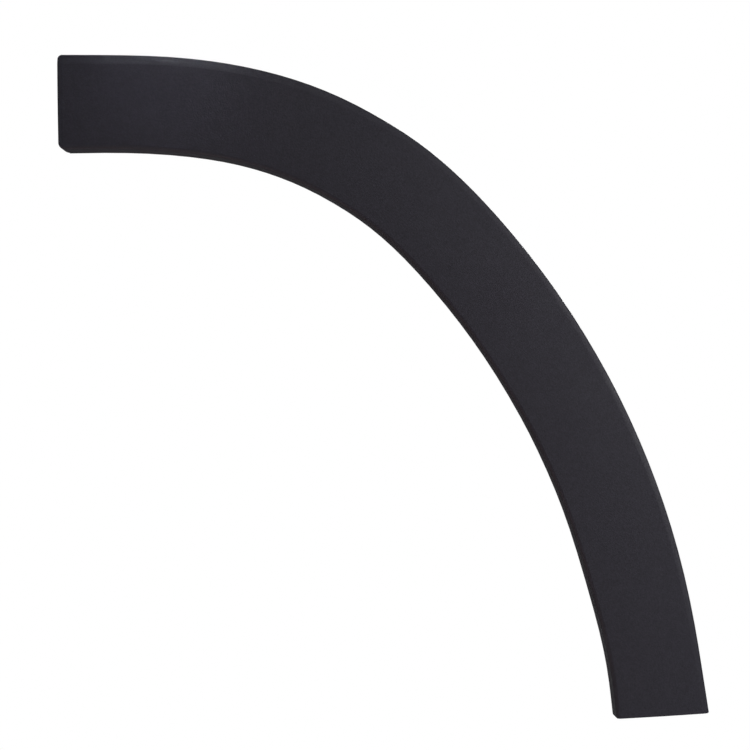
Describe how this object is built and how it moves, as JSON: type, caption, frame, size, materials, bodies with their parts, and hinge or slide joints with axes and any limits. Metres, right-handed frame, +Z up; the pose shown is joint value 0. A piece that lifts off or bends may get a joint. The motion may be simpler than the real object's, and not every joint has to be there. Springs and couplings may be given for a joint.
{
  "type": "step trim",
  "caption": "Arch-shaped moulded trim band for a step beside a wheel opening, with a bevelled outer edge, a rolled lip and clip towers on its hollow back.",
  "frame": {"origin": "centre of the upper clip slot, halfway across the band, on the seat plane of the back rim", "axes": "+X from the upper end towards the foot, +Y into the vehicle, +Z up; the face looks along -Y"},
  "size_m": [0.738, 0.028, 0.7526],
  "materials": {
    "trim": "satin, fine moulded grain"
  },
  "bodies": {
    "root": {"step_trim": "trim"}
  },
  "joints": []
}
